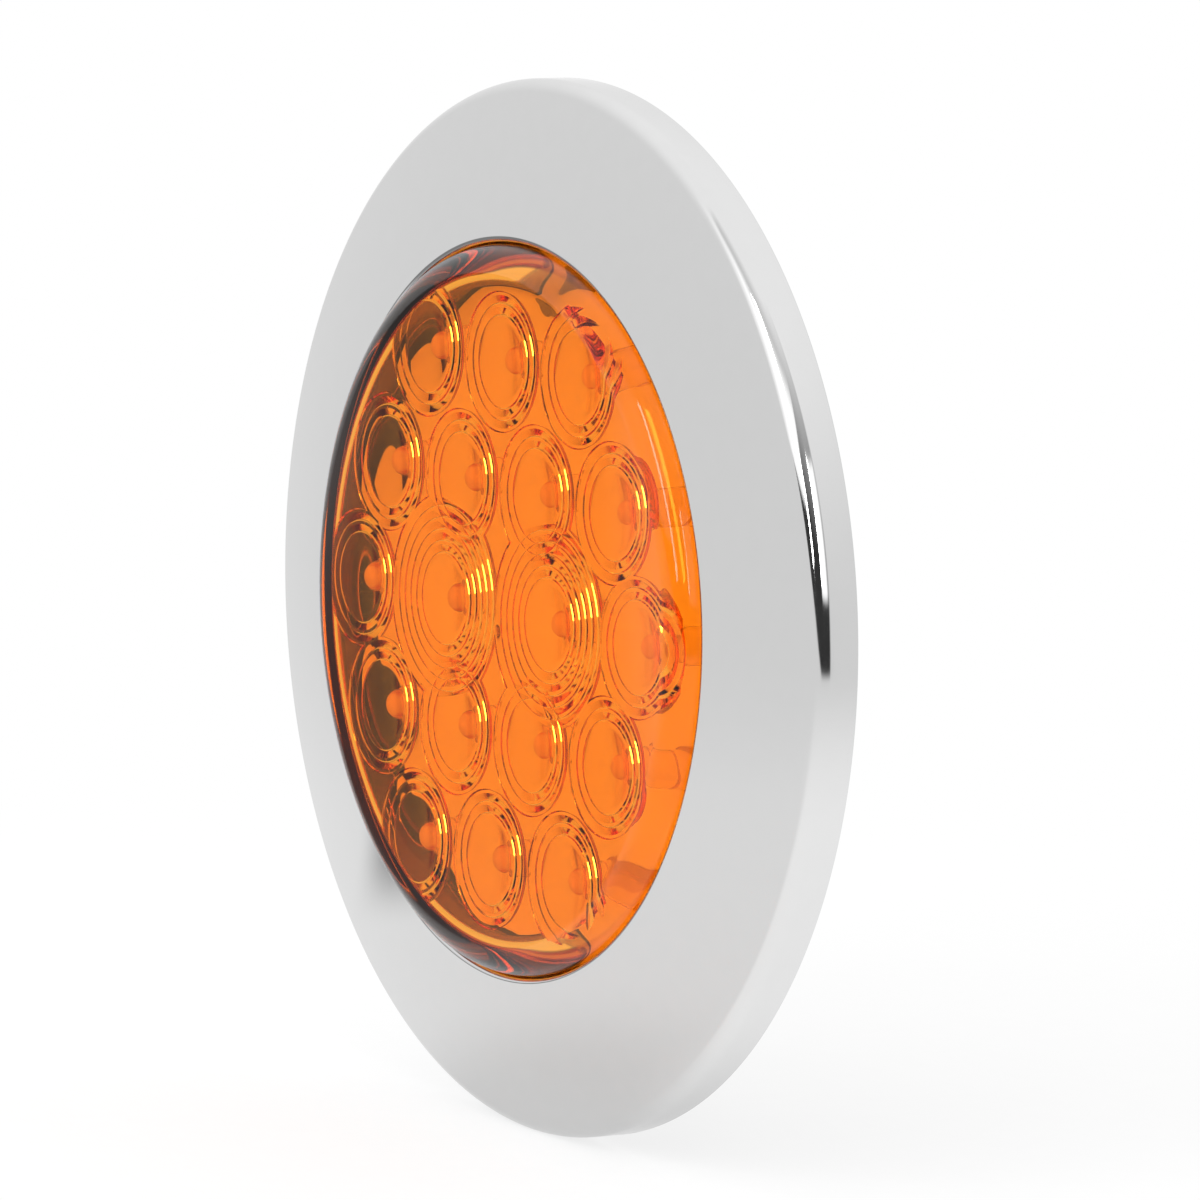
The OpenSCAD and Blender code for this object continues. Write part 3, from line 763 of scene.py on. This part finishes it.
class LAMP_OT_socket(bpy.types.Operator):
    """Builds the rear socket with its seal and three pins"""
    bl_idname = "lamp.socket"
    bl_label = "Rear socket"
    STEPS = 128
    PIN_STEPS = 48
    FOOT_EDGE = 0.3 * MM
    RIM_EDGE = 0.4 * MM
    MOUTH_EDGE = 0.5 * MM
    KEY_EDGE = 0.3 * MM
    KEY_BITE = 0.5 * MM
    # The key stops this far short of the socket's mouth and of its foot
    KEY_SHORT = 0.4 * MM
    SHANK = 1.2 * MM
    TAIL = 0.6 * MM
    TAIL_EDGE = 0.1 * MM
    PIN_NOSE = 0.9

    def cup(self, props, top):
        """Cup with its rear rim and the key rib on its inner wall."""
        rim_r = high("pin_socket", 0)
        mouth = high("pin_socket", 1)
        outer = rim_r - props.rim_width
        inner = outer - props.wall
        back = high("housing", 1)
        rim_y = back + props.rim
        floor_y = top + props.floor
        cup = turned([
            (0.0, top, 0.0), (outer, top, self.FOOT_EDGE), (outer, back, 0.0), (rim_r, back, 0.0),
            (rim_r, rim_y, self.RIM_EDGE), (outer, rim_y, 0.0), (outer, mouth, self.MOUTH_EDGE),
            (inner, mouth, self.MOUTH_EDGE), (inner, floor_y, self.RIM_EDGE), (0.0, floor_y, 0.0),
        ], self.STEPS, arc_steps=4)
        key = bmesh.new()
        verts = bmesh.ops.create_cube(key, size=1.0)["verts"]
        depth = mouth - top - 2 * self.KEY_SHORT
        bmesh.ops.scale(key, verts=verts, vec=(props.key_width, depth, props.key_depth + self.KEY_BITE))
        bmesh.ops.translate(key, verts=verts, vec=(0.0, top + self.KEY_SHORT + depth / 2,
                                                    inner - (props.key_depth - self.KEY_BITE) / 2))
        bmesh.ops.bevel(key, geom=key.edges[:], offset=self.KEY_EDGE, offset_type="OFFSET", affect="EDGES",
                        segments=3, profile=0.5, material=-1)
        merged(cup, key)
        return as_object("socket_cup", cup)

    def execute(self, context):
        props = context.scene.lamp.socket
        top = low("pin_socket", 1)
        floor_y = top + props.floor
        seal_y = low("pin_seal", 1)
        nylon = moulded_plastic("black_nylon", props.plastic, grain_mm=0.4, roughness=0.42)
        settle(self.cup(props, top), "lamp", "socket_plastic", ["pin_socket"], nylon)
        brass = plain_metal("drawn_brass", props.brass, roughness=0.28, mottle_mm=0.5)
        for node in PIN_NODES:
            lo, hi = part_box(node)
            radius = (hi[0] - lo[0]) / 2
            pin = turned([
                (0.0, hi[1], 0.0), (radius, hi[1], radius * self.PIN_NOSE), (radius, floor_y, 0.0),
                (self.SHANK, floor_y, 0.0), (self.SHANK, seal_y, 0.0), (self.TAIL, seal_y, 0.0),
                (self.TAIL, lo[1], self.TAIL_EDGE), (0.0, lo[1], 0.0),
            ], self.PIN_STEPS, arc_steps=6)
            piece = as_object(f"{node}_contact", moved(pin, centre(node)))
            settle(piece, "lamp", "pin_brass", [node], brass)
        seal = moulded_plastic("potting_epoxy", linear("#3A342C"), grain_mm=1.2, roughness=0.3)
        finish_node("pin_seal", seal)
        return {"FINISHED"}


class LAMP_OT_stage(bpy.types.Operator):
    """Sets the floor, the studio light and the camera"""
    bl_idname = "lamp.stage"
    bl_label = "Stage"
    # Camera of the photo, fitted to the outlines of bezel and lens and the middles of the optics: azimuth, elevation
    # and roll in degrees, place to the right, up and back in millimetres from a point just in front of the origin,
    # and focal length in pixels
    EYE_ANGLES = (59.051, 7.691, 1.487)
    EYE_PLACE = (3.311, 0.939, 1142.6)
    EYE_ORIGIN = (0.0, -0.3 * MM, 0.0)
    FOCAL_PIXELS = 8629
    FRAME_PIXELS = 1200
    SENSOR = 36.0
    # Place, width and height in metres, roll in degrees and power in watts of the two area lights
    LIGHTS = {
        "key": ((0.45, -1.20, 0.68), 0.16, 1.1, 25, 7.0),
        "strip": ((1.85, -0.70, 0.80), 0.09, 0.9, 0, 3.6),
    }
    # Studio as a mirror sees it: the brightness of its walls against white, and the darkness of its dark room
    HORIZON_LEVEL = 0.94
    CEILING_LEVEL = 1.2
    DARKNESS = 0.95
    # Zones of the studio, each over those before it: brightness against white, and its limits. A limit weighs the
    # angles to the right of straight ahead and above the horizon, and the zone fades in as their sum goes from the
    # first number of degrees to the second.
    TO_RIGHT = (1.0, 0.0, 0.0)
    UPWARDS = (0.0, 1.0, 0.0)
    ZONES = {
        # Where these zones fall on the floor, mirrors see them painted on it: painted light on the floor to the right
        # and a painted shadow under the lamp
        "floor": (1.02, ((UPWARDS, -6, -20),)),
        "painted_light_right_floor": (1.25, ((TO_RIGHT, 15, 50), (TO_RIGHT, 170, 130), (UPWARDS, -5, -30))),
        "painted_shadow_under_lamp": (0.85, ((UPWARDS, -50, -75),)),
        "dark_room": (0.0, (((0.175, 1.0, 0.0), 2.7, 4.7), (UPWARDS, -7.5, -5.5), (TO_RIGHT, 116, 104),
                            (TO_RIGHT, -22, -14))),
        "front_softbox": (1.55, ((TO_RIGHT, -32, -12), ((1.0, -1.17, 0.0), 1, -3), ((-0.2, 1.0, 0.0), 9.6, 11.6),
                                 (UPWARDS, 54, 34))),
        "side_softbox": (1.6, ((TO_RIGHT, 64, 70), (TO_RIGHT, 112, 98), (UPWARDS, 6, 9), (UPWARDS, 37, 33))),
    }
    # Painted dark strip on the floor, seen only in mirrors as a painted dark reflection, in metres: where it starts,
    # half its width, how that grows, and how dark it is
    PAINTED_STRIP_AZIMUTH = math.radians(-59)
    PAINTED_STRIP_START = (0.10, 0.15)
    PAINTED_STRIP_WIDTH = 0.05
    PAINTED_STRIP_SPREAD = 0.06
    PAINTED_STRIP_DEPTH = 0.7
    # The floor goes over into the white background between these distances, from this share
    FADE = (0.09, 0.28)
    FADE_LEAST = 0.75
    FLOOR_HALF = 6.0

    def camera(self, context):
        """Camera with the view of the photo."""
        azimuth, elevation, roll = (math.radians(a) for a in self.EYE_ANGLES)
        back = Vector((math.sin(azimuth) * math.cos(elevation), -math.cos(azimuth) * math.cos(elevation),
                       math.sin(elevation)))
        right = Vector((math.cos(azimuth), math.sin(azimuth), 0.0))
        up = back.cross(right)
        level = math.cos(roll) * right + math.sin(roll) * up
        upright = math.cos(roll) * up - math.sin(roll) * right
        across, above, away = self.EYE_PLACE
        place = (across * level + above * upright + away * back) * MM + Vector(self.EYE_ORIGIN)
        data = bpy.data.cameras.new("camera")
        data.sensor_width = self.SENSOR
        data.lens = self.SENSOR * self.FOCAL_PIXELS / self.FRAME_PIXELS
        data.clip_start = 0.05
        data.clip_end = 100.0
        eye = bpy.data.objects.new("camera", data)
        eye.matrix_world = Matrix((level, upright, back)).transposed().to_4x4()
        eye.location = place
        context.scene.collection.objects.link(eye)
        context.scene.camera = eye

    def light(self, context, name, place, width, height, roll, watts):
        """Soft rectangular light that points at the origin."""
        data = bpy.data.lights.new(name, "AREA")
        data.shape = "RECTANGLE"
        data.size = width
        data.size_y = height
        data.energy = watts
        made = bpy.data.objects.new(name, data)
        made.location = place
        aim = (-Vector(place)).to_track_quat("-Z", "Y")
        made.rotation_euler = (aim @ Quaternion((0.0, 0.0, 1.0), math.radians(roll))).to_euler()
        context.scene.collection.objects.link(made)

    def rays(self, tree):
        """Whether a ray is seen by the camera, through glass or in a mirror, and whether only in a mirror."""
        path = add(tree, "ShaderNodeLightPath").outputs
        seen = add(tree, "ShaderNodeMath", {0: path["Is Camera Ray"], 1: path["Is Glossy Ray"]}, operation="MAXIMUM")
        seen = add(tree, "ShaderNodeMath", {0: seen.outputs[0], 1: path["Is Transmission Ray"]}, operation="MAXIMUM")
        mirrored = add(tree, "ShaderNodeMath", {0: path["Is Glossy Ray"], 1: path["Is Transmission Ray"]},
                       operation="SUBTRACT", use_clamp=True)
        return seen.outputs[0], mirrored.outputs[0]

    def room(self, tree, toward):
        """Brightness of the studio in a mirror: a white sweep, two softboxes and the dark room round them."""
        parts = add(tree, "ShaderNodeSeparateXYZ", {"Vector": toward}).outputs
        ahead = add(tree, "ShaderNodeMath", {0: parts["Y"], 1: -1.0}, operation="MULTIPLY").outputs[0]
        turn = add(tree, "ShaderNodeMath", {0: parts["X"], 1: ahead}, operation="ARCTAN2").outputs[0]
        rise = add(tree, "ShaderNodeMath", {0: parts["Z"]}, operation="ARCSINE").outputs[0]
        angles = add(tree, "ShaderNodeCombineXYZ", {"X": turn, "Y": rise}).outputs["Vector"]
        # White walls, a little brighter towards the ceiling
        level = add(tree, "ShaderNodeMapRange", {
            "Value": rise, "From Max": math.radians(60), "To Min": self.HORIZON_LEVEL, "To Max": self.CEILING_LEVEL},
            interpolation_type="SMOOTHSTEP").outputs["Result"]
        # The dark room gets lighter with height
        dimness = add(tree, "ShaderNodeMapRange", {
            "Value": rise, "From Min": math.radians(15), "From Max": math.radians(70), "To Min": self.DARKNESS,
            "To Max": 0.0}).outputs["Result"]
        for zone, (brightness, limits) in self.ZONES.items():
            share = dimness if zone == "dark_room" else 1.0
            for weights, first, last in limits:
                weighed = add(tree, "ShaderNodeVectorMath", {0: angles, 1: weights}, operation="DOT_PRODUCT")
                within = add(tree, "ShaderNodeMapRange", {
                    "Value": weighed.outputs["Value"], "From Min": math.radians(first),
                    "From Max": math.radians(last)}, interpolation_type="SMOOTHSTEP")
                share = add(tree, "ShaderNodeMath", {0: share, 1: within.outputs["Result"]},
                            operation="MULTIPLY").outputs[0]
            level = add(tree, "ShaderNodeMix", {"Factor": share, "A": level, "B": brightness}).outputs["Result"]
        return level

    def world(self, context):
        """White all round, apart from what mirrors see."""
        world = bpy.data.worlds.new("studio")
        context.scene.world = world
        world.use_nodes = True
        tree = world.node_tree
        tree.nodes.clear()
        mirrored = self.rays(tree)[1]
        toward = add(tree, "ShaderNodeTexCoord").outputs["Generated"]
        level = add(tree, "ShaderNodeMix", {"Factor": mirrored, "A": 1.0, "B": self.room(tree, toward)})
        sky = add(tree, "ShaderNodeBackground", {"Color": linear("#FFFFFF"), "Strength": level.outputs["Result"]})
        output = add(tree, "ShaderNodeOutputWorld")
        tree.links.new(sky.outputs["Background"], output.inputs["Surface"])

    def flag(self, tree, place):
        """Painted darkness of a strip of floor that the flat of the lens mirrors: a painted dark reflection, seen
        only in mirrors.
        """
        along = (math.sin(self.PAINTED_STRIP_AZIMUTH), -math.cos(self.PAINTED_STRIP_AZIMUTH), 0.0)
        across = (along[1], -along[0], 0.0)
        ahead = add(tree, "ShaderNodeVectorMath", {0: place, 1: along}, operation="DOT_PRODUCT").outputs["Value"]
        aside = add(tree, "ShaderNodeVectorMath", {0: place, 1: across}, operation="DOT_PRODUCT").outputs["Value"]
        aside = add(tree, "ShaderNodeMath", {0: aside}, operation="ABSOLUTE").outputs[0]
        width = add(tree, "ShaderNodeMath", {0: ahead, 1: self.PAINTED_STRIP_SPREAD, 2: self.PAINTED_STRIP_WIDTH},
                    operation="MULTIPLY_ADD").outputs[0]
        aside = add(tree, "ShaderNodeMath", {0: aside, 1: width}, operation="DIVIDE").outputs[0]
        starts = add(tree, "ShaderNodeMapRange", {
            "Value": ahead, "From Min": self.PAINTED_STRIP_START[0], "From Max": self.PAINTED_STRIP_START[1]},
            interpolation_type="SMOOTHSTEP")
        narrow = add(tree, "ShaderNodeMapRange", {
            "Value": aside, "From Min": 1.0, "From Max": 0.6, "To Max": self.PAINTED_STRIP_DEPTH},
            interpolation_type="SMOOTHSTEP")
        return add(tree, "ShaderNodeMath", {0: starts.outputs["Result"], 1: narrow.outputs["Result"]},
                   operation="MULTIPLY").outputs[0]

    def floor(self, context):
        """White paper floor that keeps the shadow near the lamp and goes over into the background, and that mirrors
        see glowing with painted light and shade.
        """
        bm = bmesh.new()
        bmesh.ops.create_grid(bm, x_segments=1, y_segments=1, size=self.FLOOR_HALF)
        ground = as_object("floor", moved(bm, (0.0, 0.0, CAD_BOX[0][2])))
        material, tree, place, surface = blank("white_paper")
        fibre = add(tree, "ShaderNodeTexNoise", {"Vector": place, "Scale": 1 / (4 * MM), "Detail": 3.0})
        tone = add(tree, "ShaderNodeMix", {"Factor": fibre.outputs["Fac"], "A": linear("#F6F6F6"),
                                           "B": linear("#FCFCFC")}, data_type="RGBA")
        paper = add(tree, "ShaderNodeBsdfPrincipled", {"Base Color": tone.outputs["Result"], "Roughness": 0.9,
                                                       "Specular IOR Level": 0.0})
        seen, mirrored = self.rays(tree)
        far = add(tree, "ShaderNodeVectorMath", {0: place}, operation="LENGTH").outputs["Value"]
        fade = add(tree, "ShaderNodeMapRange", {
            "Value": far, "From Min": self.FADE[0], "From Max": self.FADE[1], "To Min": self.FADE_LEAST})
        share = add(tree, "ShaderNodeMath", {0: seen, 1: fade.outputs["Result"]}, operation="MULTIPLY").outputs[0]
        # Mirrors see the floor glow with painted light and shade: the studio's brightness in its direction, with the
        # painted dark strip over it
        toward = add(tree, "ShaderNodeVectorMath", {0: place}, operation="NORMALIZE").outputs["Vector"]
        around = add(tree, "ShaderNodeMix", {
            "Factor": self.flag(tree, place), "A": self.room(tree, toward), "B": 0.0}).outputs["Result"]
        level = add(tree, "ShaderNodeMix", {"Factor": mirrored, "A": 1.0, "B": around}).outputs["Result"]
        glow = add(tree, "ShaderNodeEmission", {"Color": linear("#FFFFFF"), "Strength": level})
        mix = add(tree, "ShaderNodeMixShader", {0: share, 1: paper.outputs["BSDF"], 2: glow.outputs["Emission"]})
        tree.links.new(mix.outputs["Shader"], surface)
        ground.data.materials.append(material)

    def execute(self, context):
        context.scene.view_settings.view_transform = "Standard"
        # Light is turned back many times inside the lens's rim and rings, which few bounces would leave black
        paths = context.scene.cycles
        paths.max_bounces = 24
        paths.glossy_bounces = 16
        paths.transmission_bounces = 24
        paths.transparent_max_bounces = 24
        self.camera(context)
        self.world(context)
        self.floor(context)
        for name, values in self.LIGHTS.items():
            self.light(context, name, *values)
        return {"FINISHED"}


class LAMP_PT_panel(bpy.types.Panel):
    """Lists the lamp's pieces and their sizes"""
    bl_idname = "LAMP_PT_panel"
    bl_label = "Round LED lamp"
    bl_space_type = "VIEW_3D"
    bl_region_type = "UI"
    bl_category = "Lamp"

    def draw(self, context):
        for operator in OPERATORS:
            self.layout.operator(operator.bl_idname)
        for group in (BezelProps, LensProps, HousingProps, BoardProps, SocketProps):
            box = self.layout.box()
            part = group.__name__.removesuffix("Props").lower()
            for key in group.__annotations__:
                box.prop(getattr(context.scene.lamp, part), key)


OPERATORS = (LAMP_OT_bezel, LAMP_OT_lens, LAMP_OT_leds, LAMP_OT_housing, LAMP_OT_board, LAMP_OT_socket,
             LAMP_OT_stage)
CLASSES = (BezelProps, LensProps, HousingProps, BoardProps, SocketProps, LampProps) + OPERATORS + (LAMP_PT_panel,)


def register():
    for cls in CLASSES:
        bpy.utils.register_class(cls)
    bpy.types.Scene.lamp = bpy.props.PointerProperty(type=LampProps, name="Lamp", description="Round LED lamp")


def unregister():
    del bpy.types.Scene.lamp
    for cls in reversed(CLASSES):
        bpy.utils.unregister_class(cls)


def main():
    register()
    bpy.ops.lamp.bezel()
    bpy.ops.lamp.lens()
    bpy.ops.lamp.leds()
    bpy.ops.lamp.housing()
    bpy.ops.lamp.board()
    bpy.ops.lamp.socket()
    bpy.ops.lamp.stage()


if __name__ == "__main__":
    main()
